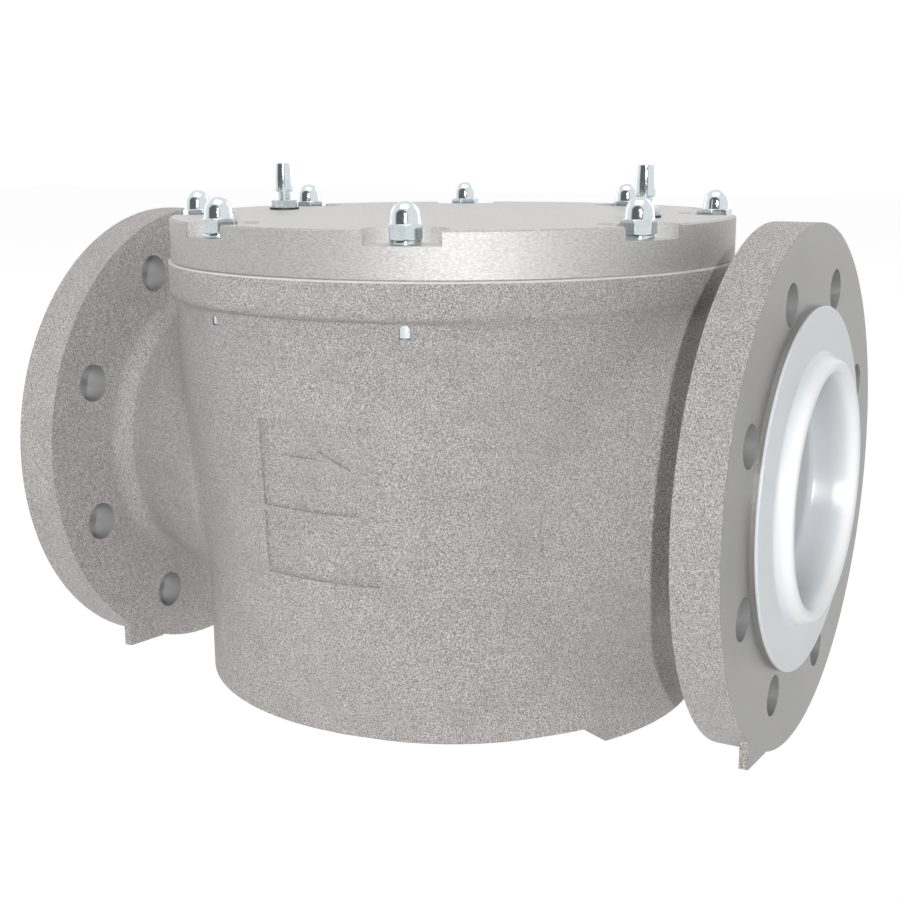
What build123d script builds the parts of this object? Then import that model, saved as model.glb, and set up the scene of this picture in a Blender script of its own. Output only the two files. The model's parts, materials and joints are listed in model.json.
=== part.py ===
from build123d import *
from math import cos, radians, sin, sqrt, tan
import os

# Gas filter for a flanged pipe. A cast body carries two pipe flanges on one axis, and a round lid
# is held on it by eight studs with cap nuts. Under the lid stands a filter cartridge.
# Millimetres. The origin is on the pipe axis, midway between the flange faces. X runs along the
# pipe from inlet to outlet, and Z points up through the lid.

os.makedirs("parts", exist_ok=True)

# Pipe flanges
face_to_face = 350
bore_diameter = 100
flange_diameter = 228
flange_thickness = 22
raised_face_diameter = 158
raised_face_height = 2
bolt_circle_diameter = 180
bolt_hole_diameter = 18
bolt_count = 8
inlet_rim_rounding = 1.2
outlet_rim_rounding = 4
rim_chamfer = 1
neck_end_diameter = 126
neck_root_diameter = 178
neck_root_distance = 90
neck_fillet = 7

# Casting lugs under the flange rims
lug_near_side = 67
lug_width = 25
lug_bottom = -104.5
lug_thickness = 4

# Body shell
body_flange_overhang = 13.1
shell_bottom = -101.3
shell_flare_start = -45
shell_front_flare = 5.9
shell_side_flare = 12.5
shell_flare_levels = 4
wall = 8.5
floor_thickness = 10
foot_height = 8
foot_disc_inset = 17
foot_half_angle = 28
neck_cover = 5.9
body_flange_stand_out = 1.4
body_flange_thickness = 16.5
body_flange_rounding = 4
body_flange_chamfer = 0.9
mouth_to_stud_circle = 9.4
mouth_depth = 20
guide_rib_thickness = 8
rib_top_gap = 1
seat_height = 4

# Recessed field for the cast plate, with a divider rib and a plain flow arrow
plate_width = 56.5
plate_height = 68.5
plate_centre_level = 0.7
plate_depth = 1.2
divider_level = -4.6
divider_height = 2.4
divider_gap = 7
arrow_length = 34
arrow_height = 15
arrow_level = 16

# Lid
lid_diameter = 262.4
lid_thickness = 19.6
lid_top_bevel = 0.8
lid_foot_bevel = 0.5
lid_plate_thickness = 9.5
spigot_depth = 9
spigot_wall = 8.5
spigot_clearance = 0.3
lid_rib_count = 6
lid_rib_thickness = 5
lid_rib_depth = 5

# Studs, spring washers and cap nuts, at these angles on each side of the pipe axis
stud_angles = (23.2, 70.2, 115.3, 157.3)
stud_edge_distance = 8.8
stud_diameter = 8
stud_hole_clearance = 0.25
stud_tip_below_flange = 7
lid_hole_diameter = 9
pocket_diameter = 35
pocket_depth = 6.2
washer_diameter = 12.7
washer_thickness = 2
washer_gap = 1.5
nut_width = 13
nut_hex_height = 6.3
nut_dome_diameter = 12
nut_dome_top_diameter = 10
nut_height = 15
nut_thread_depth = 11
stud_top_gap = 1
thread_clearance = 0.03

# Lid seal
oring_section = 2.55
oring_groove_width = 3.6
oring_facets = 8
seal_clearance = 0.05

# Filter cartridge
element_diameter = 176
element_thickness = 13
cage_slot_columns = 12
cage_slot_rows = 3
cage_slot_width = 24
cage_slot_height = 42
cage_wall = 1.2
end_ring_wall = 1.5
end_ring_lip = 9
flat_seal_thickness = 3
guide_seal_width = 16
guide_seal_reach = 9
fit_gap = 0.3
press_clearance = 0.05

# Pressure test nipples on the lid
nipple_edge_distance = 35.2
nipple_height = 22.5
nipple_hex_width = 12
nipple_hex_height = 3.6
nipple_neck_diameter = 6.4
nipple_neck_height = 4
nipple_barb_diameter = 9
nipple_tip_diameter = 8
nipple_bore_diameter = 5
nipple_vent_diameter = 2.4
nipple_thread_diameter = 9.7
nipple_thread_length = 9
nipple_seal_diameter = 14.5
nipple_seal_thickness = 1
nipple_screw_recess = 4
nipple_screw_length = 11
slot_width = 1
slot_depth = 1.5

# Push-in protective caps in the flange bores
cap_wall = 1.4
cap_flange_diameter = 158.5
cap_ring_diameter = 118
cap_ring_outer_slope = 3
cap_ring_crest = 3.4
cap_ring_height = 8.6
cap_plug_depth = 14
cap_floor_diameter = 95
cap_clearance = 0.05

# Derived places
flange_face = face_to_face / 2
flange_front = flange_face - raised_face_height
flange_back = flange_face - flange_thickness
lid_radius = lid_diameter / 2
body_flange_radius = lid_radius + body_flange_stand_out
shell_radius = body_flange_radius - body_flange_overhang
stud_radius = lid_radius - stud_edge_distance
mouth_radius = stud_radius - mouth_to_stud_circle
nipple_distance = lid_radius - nipple_edge_distance
split_level = neck_root_diameter / 2 + neck_cover
body_flange_bottom = split_level - body_flange_thickness
floor_level = shell_bottom - foot_height + floor_thickness
lid_top = split_level + lid_thickness
lid_underside = lid_top - lid_plate_thickness
spigot_bottom = split_level - spigot_depth
pocket_floor = lid_top - pocket_depth
rib_top = spigot_bottom - rib_top_gap
nut_bottom = pocket_floor + washer_thickness
stud_directions = [side * angle for angle in stud_angles for side in (1, -1)]
seat_level = floor_level + seat_height
cartridge_bottom = seat_level + flat_seal_thickness
cartridge_top = rib_top - flat_seal_thickness
element_outer = element_diameter / 2 - end_ring_wall
element_inner = element_outer - element_thickness
end_ring_inner = element_inner - cage_wall - end_ring_wall


def around(radius, angle):
    """Point at this radius and angle about the vertical axis."""
    return (radius * cos(radians(angle)), radius * sin(radians(angle)))


stud_places = [around(stud_radius, angle) for angle in stud_directions]
nipple_places = {"inlet": (-nipple_distance, 0), "outlet": (nipple_distance, 0)}


def shell_solid(growth):
    """Outer form of the body below its flange, grown outwards by this much.

    A round lower part runs up into a wider oval, flared mostly towards the two pipe necks.
    """
    radius = shell_radius + growth
    rise = body_flange_bottom - shell_flare_start
    with BuildPart() as shell:
        with BuildSketch(Plane.XY.offset(shell_bottom)):
            Circle(radius)
        extrude(amount=shell_flare_start - shell_bottom)
        for level in range(shell_flare_levels):
            share = level / (shell_flare_levels - 1)
            side = shell_side_flare * (1 - (1 - share) ** 3)
            with BuildSketch(Plane.XY.offset(shell_flare_start + rise * share)):
                if level == 0:
                    Circle(radius)
                else:
                    Ellipse(radius + side, radius + shell_front_flare * share)
        loft()
    return shell.part


def pipe_end(rim_rounding):
    """Flange and tapering neck on the outlet side, as a solid of revolution about the pipe."""
    with BuildPart() as end:
        with BuildSketch(Plane.XZ):
            with BuildLine():
                Polyline(
                    (0, 0),
                    (0, neck_root_diameter / 2),
                    (neck_root_distance, neck_root_diameter / 2),
                    (flange_back, neck_end_diameter / 2),
                    (flange_back, flange_diameter / 2),
                    (flange_front, flange_diameter / 2),
                    (flange_front, raised_face_diameter / 2),
                    (flange_face, raised_face_diameter / 2),
                    (flange_face, 0),
                    close=True,
                )
            profile = make_face()
            corners = profile.vertices()
            neck_corner = corners.sort_by_distance((flange_back, neck_end_diameter / 2, 0))[0]
            back_corner = corners.sort_by_distance((flange_back, flange_diameter / 2, 0))[0]
            front_corner = corners.sort_by_distance((flange_front, flange_diameter / 2, 0))[0]
            fillet(neck_corner, neck_fillet)
            fillet(back_corner, rim_rounding)
            chamfer(front_corner, rim_chamfer)
        revolve(axis=Axis.X)
    return end.part


# Body casting
shell = shell_solid(0)
inlet_end = pipe_end(inlet_rim_rounding).mirror(Plane.YZ)
outlet_end = pipe_end(outlet_rim_rounding)
plate_floor = shell_solid(-plate_depth)

with BuildPart() as plate_recess:
    with BuildSketch(Plane.XZ.offset(shell_radius - 2 * wall)):
        with Locations((0, plate_centre_level)):
            Rectangle(plate_width, plate_height)
        with Locations((-divider_gap / 2, divider_level)):
            Rectangle(plate_width - divider_gap, divider_height, mode=Mode.SUBTRACT)
        with BuildLine():
            Polyline(
                (-arrow_length / 2, arrow_level + arrow_height / 4),
                (arrow_length / 2 - arrow_height, arrow_level + arrow_height / 4),
                (arrow_length / 2 - arrow_height, arrow_level + arrow_height / 2),
                (arrow_length / 2, arrow_level),
                (arrow_length / 2 - arrow_height, arrow_level - arrow_height / 2),
                (arrow_length / 2 - arrow_height, arrow_level - arrow_height / 4),
                (-arrow_length / 2, arrow_level - arrow_height / 4),
                close=True,
            )
        make_face(mode=Mode.SUBTRACT)
    extrude(amount=3 * wall)
    add(plate_floor, mode=Mode.SUBTRACT)

with BuildPart() as body_casting:
    add(shell)
    add(inlet_end)
    add(outlet_end)

    # Round flange under the lid, with a rounded lower edge and a fine upper bevel
    with BuildSketch(Plane.XZ):
        with BuildLine():
            Polyline(
                (0, body_flange_bottom),
                (body_flange_radius, body_flange_bottom),
                (body_flange_radius, split_level),
                (0, split_level),
                close=True,
            )
        rim = make_face()
        lower_corner = rim.vertices().sort_by_distance(
            (body_flange_radius, body_flange_bottom, 0)
        )[0]
        upper_corner = rim.vertices().sort_by_distance(
            (body_flange_radius, split_level, 0)
        )[0]
        fillet(lower_corner, body_flange_rounding)
        chamfer(upper_corner, body_flange_chamfer)
    revolve(axis=Axis.Z)

    # Foot: a disc under the floor, and a sector of the wall drawn down below each neck
    foot_bottom = shell_bottom - foot_height
    with BuildSketch(Plane.XY.offset(foot_bottom)):
        Circle(shell_radius - foot_disc_inset)
    extrude(amount=foot_height)
    for side in (1, -1):
        with BuildSketch(Plane.XY.offset(foot_bottom)):
            with BuildLine():
                Polyline(
                    (0, 0),
                    (side * 2 * shell_radius, -2 * shell_radius * tan(radians(foot_half_angle))),
                    (side * 2 * shell_radius, 2 * shell_radius * tan(radians(foot_half_angle))),
                    close=True,
                )
            make_face()
            Circle(shell_radius, mode=Mode.INTERSECT)
        extrude(amount=foot_height)

    # Lugs under the rims, on the near side
    for lug_face in (flange_front, -flange_back):
        with BuildSketch(Plane.YZ.offset(lug_face)):
            with BuildLine():
                Polyline(
                    (-lug_near_side, 0),
                    (-lug_near_side, lug_bottom),
                    (-lug_near_side + lug_width, lug_bottom - 2),
                    (-lug_near_side + lug_width, 0),
                    close=True,
                )
            make_face()
        extrude(amount=-lug_thickness)
    add(plate_recess.part, mode=Mode.SUBTRACT)

    # Filter chamber, open to both pipe bores
    with BuildSketch(Plane.XZ):
        with BuildLine():
            Polyline(
                (0, floor_level),
                (shell_radius - wall, floor_level),
                (shell_radius - wall, split_level - mouth_depth - wall),
                (mouth_radius, split_level - mouth_depth),
                (mouth_radius, split_level),
                (0, split_level),
                close=True,
            )
        chamber = make_face()
        floor_corner = chamber.vertices().sort_by_distance((shell_radius, floor_level, 0))[0]
        chamfer(floor_corner, wall / 2)
    revolve(axis=Axis.Z, mode=Mode.SUBTRACT)
    with BuildSketch(Plane.YZ.offset(-flange_face)):
        Circle(bore_diameter / 2)
    extrude(amount=face_to_face, mode=Mode.SUBTRACT)

    # Bolt holes straddle the vertical centre line of each flange
    for bolt_face in (flange_front, -flange_back):
        with BuildSketch(Plane.YZ.offset(bolt_face)):
            with PolarLocations(bolt_circle_diameter / 2, bolt_count, 180 / bolt_count):
                Circle(bolt_hole_diameter / 2)
        extrude(amount=-flange_thickness, mode=Mode.SUBTRACT)

    # Stud holes, which break out of the wall just under the flange
    with BuildSketch(Plane.XY.offset(split_level)):
        with Locations(*stud_places):
            Circle(stud_diameter / 2 + stud_hole_clearance)
    extrude(amount=-body_flange_thickness - stud_tip_below_flange, mode=Mode.SUBTRACT)

    # Two upright ribs part the inlet side from the outlet side and guide the cartridge
    rib_inner = element_diameter / 2 + end_ring_wall + fit_gap + 2
    rib_outer = shell_radius - wall / 2
    with BuildSketch(Plane.XY.offset(floor_level)):
        for side in (1, -1):
            with Locations((0, side * (rib_inner + rib_outer) / 2)):
                Rectangle(guide_rib_thickness, rib_outer - rib_inner)
    extrude(amount=rib_top - floor_level)

    # Ring seat for the cartridge
    with BuildSketch(Plane.XY.offset(floor_level)):
        Circle(element_outer)
        Circle(element_inner, mode=Mode.SUBTRACT)
    extrude(amount=seat_height)

body_casting.part.label = "body_casting"
export_step(body_casting.part, "parts/body_casting.step")

# Lid: a thick disc with a round pocket at each stud, a spigot below and a ring over the cartridge
oring_centre = mouth_radius - seal_clearance - oring_section / 2
groove_floor = oring_centre - oring_section / 2 - seal_clearance
groove_middle = split_level - spigot_depth / 2
spigot_outer = mouth_radius - spigot_clearance
spigot_inner = spigot_outer - spigot_wall

with BuildPart() as lid:
    with BuildSketch(Plane.XZ):
        with BuildLine():
            Polyline(
                (0, lid_underside),
                (spigot_inner, lid_underside),
                (spigot_inner, spigot_bottom),
                (spigot_outer, spigot_bottom),
                (spigot_outer, groove_middle - oring_groove_width / 2),
                (groove_floor, groove_middle - oring_groove_width / 2),
                (groove_floor, groove_middle + oring_groove_width / 2),
                (spigot_outer, groove_middle + oring_groove_width / 2),
                (spigot_outer, split_level),
                (lid_radius, split_level),
                (lid_radius, lid_top),
                (0, lid_top),
                close=True,
            )
        disc = make_face()
        rim_top = disc.vertices().sort_by_distance((lid_radius, lid_top, 0))[0]
        rim_foot = disc.vertices().sort_by_distance((lid_radius, split_level, 0))[0]
        chamfer(rim_top, lid_top_bevel)
        chamfer(rim_foot, lid_foot_bevel)
    revolve(axis=Axis.Z)
    with BuildSketch(Plane.XY.offset(rib_top)):
        Circle(element_outer)
        Circle(element_inner, mode=Mode.SUBTRACT)
    extrude(amount=lid_underside - rib_top)
    with BuildSketch(Plane.XY.offset(lid_underside - lid_rib_depth)):
        middle = (element_outer + spigot_inner) / 2
        with PolarLocations(middle, lid_rib_count, 180 / lid_rib_count):
            Rectangle(spigot_inner - element_outer + lid_rib_thickness, lid_rib_thickness)
    extrude(amount=lid_rib_depth)
    with BuildSketch(Plane.XY.offset(pocket_floor)):
        with Locations(*stud_places):
            Circle(pocket_diameter / 2)
    extrude(amount=pocket_depth, mode=Mode.SUBTRACT)
    with BuildSketch(Plane.XY.offset(split_level)):
        with Locations(*stud_places):
            Circle(lid_hole_diameter / 2)
    extrude(amount=lid_thickness, mode=Mode.SUBTRACT)
    with BuildSketch(Plane.XY.offset(lid_underside)):
        with Locations(*nipple_places.values()):
            Circle(nipple_thread_diameter / 2 + thread_clearance)
    extrude(amount=lid_plate_thickness, mode=Mode.SUBTRACT)

lid.part.label = "lid"
export_step(lid.part, "parts/lid.step")

with BuildPart() as lid_oring:
    with BuildSketch(Plane.XZ):
        with Locations((oring_centre, groove_middle)):
            RegularPolygon(oring_section / 2, oring_facets)
    revolve(axis=Axis.Z)

lid_oring.part.label = "lid_oring"
export_step(lid_oring.part, "parts/lid_oring.step")


# Studs stand in the body flange and reach up into the cap nuts
stud_bottom = body_flange_bottom - stud_tip_below_flange
stud_top = nut_bottom + nut_thread_depth - stud_top_gap

with BuildPart() as lid_studs:
    with BuildSketch(Plane.XY.offset(stud_bottom)):
        with Locations(*stud_places):
            Circle(stud_diameter / 2)
    extrude(amount=stud_top - stud_bottom)
    stud_ends = lid_studs.edges().filter_by(GeomType.CIRCLE)
    chamfer(stud_ends, stud_diameter / 10)

lid_studs.part.label = "lid_studs"
export_step(lid_studs.part, "parts/lid_studs.step")

with BuildPart() as spring_washers:
    with BuildSketch(Plane.XY.offset(pocket_floor)):
        for angle in stud_directions:
            with Locations(around(stud_radius, angle)):
                Circle(washer_diameter / 2)
                Circle(lid_hole_diameter / 2, mode=Mode.SUBTRACT)
            with Locations(Location(around(stud_radius + washer_diameter / 4, angle), angle)):
                Rectangle(washer_diameter / 2, washer_gap, mode=Mode.SUBTRACT)
    extrude(amount=washer_thickness)

spring_washers.part.label = "spring_washers"
export_step(spring_washers.part, "parts/spring_washers.step")


# Cap nut: a hexagon with bevelled corners under a tapered dome, drilled from below
with BuildPart() as cap_nut:
    with BuildSketch():
        Circle(nut_width / sqrt(3))
    extrude(amount=nut_hex_height)
    chamfer(cap_nut.edges().sort_by(Axis.Z)[-1], nut_width / 20)
    with BuildSketch():
        RegularPolygon(nut_width / 2, 6, major_radius=False)
    extrude(amount=nut_hex_height, mode=Mode.INTERSECT)
    dome_top = nut_dome_top_diameter / 2
    dome_shoulder = nut_height - dome_top
    with BuildSketch(Plane.XZ):
        with BuildLine():
            Polyline(
                (0, nut_height),
                (0, nut_hex_height / 2),
                (nut_dome_diameter / 2, nut_hex_height / 2),
                (nut_dome_diameter / 2, nut_hex_height),
                (dome_top, dome_shoulder),
            )
            ThreePointArc(
                (dome_top, dome_shoulder),
                (dome_top * cos(radians(45)), dome_shoulder + dome_top * sin(radians(45))),
                (0, nut_height),
            )
        make_face()
    revolve(axis=Axis.Z)
    with BuildSketch():
        Circle(stud_diameter / 2 + thread_clearance)
    extrude(amount=nut_thread_depth, mode=Mode.SUBTRACT)

with BuildPart() as cap_nuts:
    with Locations(Location((0, 0, nut_bottom))):
        with Locations(*stud_places):
            add(cap_nut.part)

cap_nuts.part.label = "cap_nuts"
export_step(cap_nuts.part, "parts/cap_nuts.step")


# Pressure test nipples with their sealing screws
nipple_base = lid_top + nipple_seal_thickness
nipple_top = lid_top + nipple_height
neck_bottom = nipple_base + nipple_hex_height
barb_bottom = neck_bottom + nipple_neck_height
screw_top = nipple_top - nipple_screw_recess
screw_bottom = screw_top - nipple_screw_length

for name, place in nipple_places.items():
    with BuildPart() as test_nipple:
        with BuildSketch(Plane.XY.offset(nipple_base)):
            with Locations(place):
                RegularPolygon(nipple_hex_width / 2, 6, major_radius=False)
        extrude(amount=nipple_hex_height)
        with BuildSketch(Plane.XY.offset(nipple_base)):
            with Locations(place):
                Circle(nipple_thread_diameter / 2)
        extrude(amount=-nipple_thread_length)
        with BuildSketch(Plane.XZ):
            with BuildLine():
                Polyline(
                    (place[0], neck_bottom),
                    (place[0] + nipple_neck_diameter / 2, neck_bottom),
                    (place[0] + nipple_neck_diameter / 2, barb_bottom),
                    (place[0] + nipple_barb_diameter / 2, barb_bottom + nipple_neck_height / 4),
                    (place[0] + nipple_barb_diameter / 2, (barb_bottom + nipple_top) / 2),
                    (place[0] + nipple_tip_diameter / 2, nipple_top),
                    (place[0], nipple_top),
                    close=True,
                )
            make_face()
        revolve(axis=Axis((place[0], place[1], 0), (0, 0, 1)))
        with BuildSketch(Plane.XY.offset(screw_bottom)):
            with Locations(place):
                Circle(nipple_bore_diameter / 2)
        extrude(amount=nipple_top - screw_bottom, mode=Mode.SUBTRACT)
        with BuildSketch(Plane.XY.offset(nipple_base - nipple_thread_length)):
            with Locations(place):
                Circle(nipple_vent_diameter / 2)
        extrude(amount=nipple_height, mode=Mode.SUBTRACT)
    test_nipple.part.label = "test_nipple_" + name
    export_step(test_nipple.part, "parts/test_nipple_" + name + ".step")

    with BuildPart() as test_screw:
        with BuildSketch(Plane.XY.offset(screw_bottom)):
            with Locations(place):
                Circle(nipple_bore_diameter / 2 - thread_clearance)
        extrude(amount=nipple_screw_length)
        with BuildSketch(Plane.XY.offset(screw_top)):
            with Locations(place):
                Rectangle(nipple_bore_diameter, slot_width)
        extrude(amount=-slot_depth, mode=Mode.SUBTRACT)
    test_screw.part.label = "test_screw_" + name
    export_step(test_screw.part, "parts/test_screw_" + name + ".step")

with BuildPart() as nipple_seals:
    with BuildSketch(Plane.XY.offset(lid_top)):
        with Locations(*nipple_places.values()):
            Circle(nipple_seal_diameter / 2)
            Circle(nipple_thread_diameter / 2 + thread_clearance, mode=Mode.SUBTRACT)
    extrude(amount=nipple_seal_thickness)

nipple_seals.part.label = "nipple_seals"
export_step(nipple_seals.part, "parts/nipple_seals.step")


# Filter cartridge: a fibre sleeve over a slotted cage, held in two channel rings
def end_ring_profile():
    """Channel section of the lower end ring, open upwards."""
    top = cartridge_bottom + end_ring_lip
    Polyline(
        (end_ring_inner, cartridge_bottom),
        (element_diameter / 2, cartridge_bottom),
        (element_diameter / 2, top),
        (element_outer, top),
        (element_outer, cartridge_bottom + end_ring_wall),
        (end_ring_inner + end_ring_wall, cartridge_bottom + end_ring_wall),
        (end_ring_inner + end_ring_wall, top),
        (end_ring_inner, top),
        close=True,
    )


with BuildPart() as cartridge_bottom_ring:
    with BuildSketch(Plane.XZ):
        with BuildLine():
            end_ring_profile()
        make_face()
    revolve(axis=Axis.Z)

cartridge_middle = (cartridge_bottom + cartridge_top) / 2
with BuildPart() as cartridge_top_ring:
    add(cartridge_bottom_ring.part.mirror(Plane.XY.offset(cartridge_middle)))

cartridge_bottom_ring.part.label = "cartridge_bottom_ring"
export_step(cartridge_bottom_ring.part, "parts/cartridge_bottom_ring.step")
cartridge_top_ring.part.label = "cartridge_top_ring"
export_step(cartridge_top_ring.part, "parts/cartridge_top_ring.step")

sleeve_bottom = cartridge_bottom + end_ring_wall
sleeve_height = cartridge_top - cartridge_bottom - 2 * end_ring_wall
cage_radius = element_inner - press_clearance

with BuildPart() as cartridge_cage:
    with BuildSketch(Plane.XY.offset(sleeve_bottom)):
        Circle(cage_radius)
        Circle(cage_radius - cage_wall + 2 * press_clearance, mode=Mode.SUBTRACT)
    extrude(amount=sleeve_height)
    row_pitch = (sleeve_height - end_ring_lip) / cage_slot_rows
    for row in range(cage_slot_rows):
        row_level = sleeve_bottom + (end_ring_lip + row_pitch) / 2 + row * row_pitch
        with BuildSketch(Plane.XZ.offset(-cage_radius)):
            with Locations((0, row_level)):
                Rectangle(cage_slot_width, cage_slot_height)
        slot = extrude(amount=cage_radius, mode=Mode.PRIVATE)
        with PolarLocations(0, cage_slot_columns):
            add(slot, mode=Mode.SUBTRACT)

cartridge_cage.part.label = "cartridge_cage"
export_step(cartridge_cage.part, "parts/cartridge_cage.step")

with BuildPart() as filter_sleeve:
    with BuildSketch(Plane.XY.offset(sleeve_bottom)):
        Circle(element_outer - press_clearance)
        Circle(element_inner, mode=Mode.SUBTRACT)
    extrude(amount=sleeve_height)

filter_sleeve.part.label = "filter_sleeve"
export_step(filter_sleeve.part, "parts/filter_sleeve.step")

for name, level in (("bottom", seat_level), ("top", cartridge_top)):
    with BuildPart() as cartridge_seal:
        with BuildSketch(Plane.XY.offset(level)):
            Circle(element_outer)
            Circle(element_inner, mode=Mode.SUBTRACT)
        extrude(amount=flat_seal_thickness)
    cartridge_seal.part.label = "cartridge_" + name + "_seal"
    export_step(cartridge_seal.part, "parts/cartridge_" + name + "_seal.step")

# Grooved strips on the sleeve, which slide down over the two ribs
strip_bottom = cartridge_bottom + end_ring_lip
strip_height = cartridge_top - cartridge_bottom - 2 * end_ring_lip
with BuildPart() as guide_seals:
    with BuildSketch(Plane.XY.offset(strip_bottom)):
        for side in (1, -1):
            with Locations((0, side * element_outer)):
                Rectangle(guide_seal_width, 2 * guide_seal_reach)
        for side in (1, -1):
            groove_start = rib_inner - fit_gap
            groove_end = element_outer + 2 * guide_seal_reach
            with Locations((0, side * (groove_start + groove_end) / 2)):
                Rectangle(
                    guide_rib_thickness + 2 * fit_gap,
                    groove_end - groove_start,
                    mode=Mode.SUBTRACT,
                )
        Circle(element_outer, mode=Mode.SUBTRACT)
    extrude(amount=strip_height)

guide_seals.part.label = "guide_seals"
export_step(guide_seals.part, "parts/guide_seals.step")


# Protective caps, pushed into the bores: a dished plug, a raised ring and a flat brim
ring_foot = cap_ring_diameter / 2
ring_crest_outer = ring_foot - cap_ring_outer_slope
ring_crest_inner = ring_crest_outer - cap_ring_crest
plug_mouth = bore_diameter / 2 - cap_clearance
with BuildPart() as outlet_cap:
    with BuildSketch(Plane.XZ):
        with BuildLine():
            Polyline(
                (flange_face - cap_plug_depth + cap_wall, 0),
                (flange_face - cap_plug_depth + cap_wall, cap_floor_diameter / 2 - cap_wall),
                (flange_face, plug_mouth - cap_wall),
                (flange_face + cap_ring_height, ring_crest_inner),
                (flange_face + cap_ring_height, ring_crest_outer),
                (flange_face + cap_wall, ring_foot),
                (flange_face + cap_wall, cap_flange_diameter / 2),
                (flange_face, cap_flange_diameter / 2),
                (flange_face, ring_foot - cap_wall),
                (flange_face + cap_ring_height - 2 * cap_wall, ring_crest_inner + cap_wall),
                (flange_face, plug_mouth),
                (flange_face - cap_plug_depth, cap_floor_diameter / 2),
                (flange_face - cap_plug_depth, 0),
                close=True,
            )
        cap_section = make_face()
        corners = cap_section.vertices()
        crest = (flange_face + cap_ring_height, ring_crest_inner, 0)
        brow = (flange_face + cap_ring_height, ring_crest_outer, 0)
        chamfer(corners.sort_by_distance(crest)[0], cap_ring_crest / 4)
        chamfer(cap_section.vertices().sort_by_distance(brow)[0], cap_ring_crest / 4)
    revolve(axis=Axis.X)

with BuildPart() as inlet_cap:
    add(outlet_cap.part.mirror(Plane.YZ))

outlet_cap.part.label = "outlet_cap"
export_step(outlet_cap.part, "parts/outlet_cap.step")
inlet_cap.part.label = "inlet_cap"
export_step(inlet_cap.part, "parts/inlet_cap.step")
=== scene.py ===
# %% [markdown]
# # A gas filter, dressed for its photograph
# The construction model gives every piece at its real size, in metres, with +X along the pipe,
# -Y towards the viewer and +Z up through the lid. Blender adds the finishes that make the cast,
# turned, zinc plated and moulded surfaces look like themselves. The model is loaded first, and
# its box is kept, because the dressed object must stay the same size.

# %% Load the construction model
import json
import math
import bpy
import numpy as np
from mathutils import Matrix, Vector


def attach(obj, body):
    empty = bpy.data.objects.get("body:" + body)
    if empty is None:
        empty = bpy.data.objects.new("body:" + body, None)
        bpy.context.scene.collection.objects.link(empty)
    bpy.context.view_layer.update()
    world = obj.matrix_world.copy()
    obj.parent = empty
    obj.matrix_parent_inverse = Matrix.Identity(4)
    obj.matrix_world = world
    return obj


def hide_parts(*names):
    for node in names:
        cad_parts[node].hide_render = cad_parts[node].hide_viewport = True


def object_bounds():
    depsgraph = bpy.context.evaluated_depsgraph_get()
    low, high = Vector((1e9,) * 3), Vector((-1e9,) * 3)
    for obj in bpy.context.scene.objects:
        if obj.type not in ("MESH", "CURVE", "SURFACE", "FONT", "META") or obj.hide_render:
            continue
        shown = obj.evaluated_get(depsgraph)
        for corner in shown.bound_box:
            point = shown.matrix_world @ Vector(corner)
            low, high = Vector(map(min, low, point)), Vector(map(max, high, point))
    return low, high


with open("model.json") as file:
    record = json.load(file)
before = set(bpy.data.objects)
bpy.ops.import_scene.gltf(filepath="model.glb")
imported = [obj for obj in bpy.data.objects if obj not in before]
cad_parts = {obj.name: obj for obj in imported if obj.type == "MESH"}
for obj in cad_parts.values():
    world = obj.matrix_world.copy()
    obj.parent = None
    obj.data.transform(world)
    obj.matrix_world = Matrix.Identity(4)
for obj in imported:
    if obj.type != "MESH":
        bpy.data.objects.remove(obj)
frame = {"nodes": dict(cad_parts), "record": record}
nodes = frame["nodes"]
cad_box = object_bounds()
box_shown = [tuple(round(c, 4) for c in corner) for corner in cad_box]
print("construction model:", len(nodes), "pieces, box", box_shown)

# %% [markdown]
# ## The camera
# Its place was found by matching the flange rims, bolt holes and lid edges of the photograph.
# The lens is a little long and the frame is shifted slightly, so the lens centre is not the
# middle of the picture.

# %% Camera
image_size = 900
focal_pixels = 1453.281
centre_pixels = (454.988, 483.662)
camera_place = Vector((0.331467, -0.610671, 0.148731))
camera_azimuth = math.radians(28.457)
camera_elevation = math.radians(13.366)
camera_roll = math.radians(-0.263)

back = Vector((
    math.sin(camera_azimuth) * math.cos(camera_elevation),
    -math.cos(camera_azimuth) * math.cos(camera_elevation),
    math.sin(camera_elevation),
))
level_right = Vector((0, 0, 1)).cross(back).normalized()
level_up = back.cross(level_right)
right = math.cos(camera_roll) * level_right + math.sin(camera_roll) * level_up
up = -math.sin(camera_roll) * level_right + math.cos(camera_roll) * level_up

camera_data = bpy.data.cameras.new("camera")
camera = bpy.data.objects.new("camera", camera_data)
bpy.context.scene.collection.objects.link(camera)
bpy.context.scene.camera = camera
camera_data.sensor_width = 36
camera_data.lens = focal_pixels / image_size * camera_data.sensor_width
camera_data.shift_x = (image_size / 2 - centre_pixels[0]) / image_size
camera_data.shift_y = (centre_pixels[1] - image_size / 2) / image_size
camera_data.clip_end = 20
turn = Matrix((right, up, back)).transposed().to_4x4()
camera.matrix_world = Matrix.Translation(camera_place) @ turn
print("camera at", [round(c, 3) for c in camera_place], "lens", round(camera_data.lens, 2), "mm")

# %% [markdown]
# ## Helpers that build shader nodes
# Every material here is a tree of nodes. These short functions add one node, or a few that belong
# together, and return the socket that carries the result, so a tree reads like a formula.

# %% Node helpers
def new_group(name, inputs, outputs):
    """An empty shader node group with float inputs {name: default} and outputs {name: type}."""
    group = bpy.data.node_groups.new(name, "ShaderNodeTree")
    for key_name, value in inputs.items():
        socket = group.interface.new_socket(key_name, in_out="INPUT", socket_type="NodeSocketFloat")
        socket.default_value = value
    for key_name, kind in outputs.items():
        group.interface.new_socket(key_name, in_out="OUTPUT", socket_type=kind)
    entry = group.nodes.new("NodeGroupInput")
    leave = group.nodes.new("NodeGroupOutput")
    return group, entry, leave


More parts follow.
